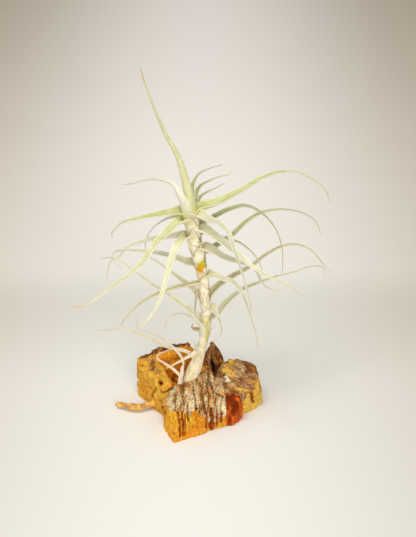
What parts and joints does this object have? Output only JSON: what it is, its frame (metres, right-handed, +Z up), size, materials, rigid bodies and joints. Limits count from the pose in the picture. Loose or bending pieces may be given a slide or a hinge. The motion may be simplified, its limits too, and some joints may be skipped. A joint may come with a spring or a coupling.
{
  "type": "tillandsia paleacea air plant on cork bark",
  "caption": "Leafy upright air plant with long arching silvery leaves, a few dry leaves and a young offset shoot, its stem standing in a rough chunk of virgin cork bark with a side twig.",
  "frame": {"origin": "on the surface that the cork stands on, under the foot of the stem", "axes": "+Z up along the plant, -Y towards the side it is looked at from, +X to that viewer's right"},
  "size_m": [0.1815, 0.1294, 0.2631],
  "materials": {
    "cork": "matt golden cork with grey-beige furrowed bark outside and red-brown grooves",
    "twig": "matt knobby yellow-brown bark",
    "stem": "papery cream leaf sheaths over the stem, matt",
    "leaf": "pale grey-green under a fine silvery down of scales, matt",
    "dry_leaf": "dead leaf, pale straw with an orange tinge, matt"
  },
  "bodies": {
    "root": {"cork_mount": "cork", "side_twig": "twig", "stem": "stem", "offset_shoot": "stem", "leaf_spire": "leaf", "leaf_crown_left_back": "leaf", "leaf_crown_right_front": "leaf", "leaf_crown_right_long": "leaf", "leaf_crown_back_1": "leaf", "leaf_crown_back_2": "leaf", "leaf_crown_back_3": "leaf", "leaf_left_level": "leaf", "leaf_left_back_thin": "leaf", "leaf_left_front_long": "leaf", "leaf_right_back_arch": "leaf", "leaf_right_front_low_arch": "leaf", "leaf_front_hanging": "leaf", "leaf_left_arch": "leaf", "leaf_right_thin": "leaf", "leaf_back_upper": "leaf", "leaf_right_front_upper": "leaf", "leaf_right_back_long": "leaf", "leaf_left_back_long": "leaf", "leaf_right_front_lower": "leaf", "leaf_left_front_lower": "leaf", "leaf_back_lower": "leaf", "leaf_right_back_middle": "leaf", "leaf_left_back_middle": "leaf", "leaf_right_curled_back": "leaf", "leaf_left_back_lower": "leaf", "leaf_right_back_lower": "leaf", "leaf_left_lowest": "leaf", "dry_leaf_on_stem": "dry_leaf", "dry_leaf_hooked": "dry_leaf", "dry_leaf_crossing": "dry_leaf", "dry_leaf_long": "dry_leaf", "offset_leaf_looped": "dry_leaf", "offset_leaf_long": "dry_leaf"}
  },
  "joints": []
}
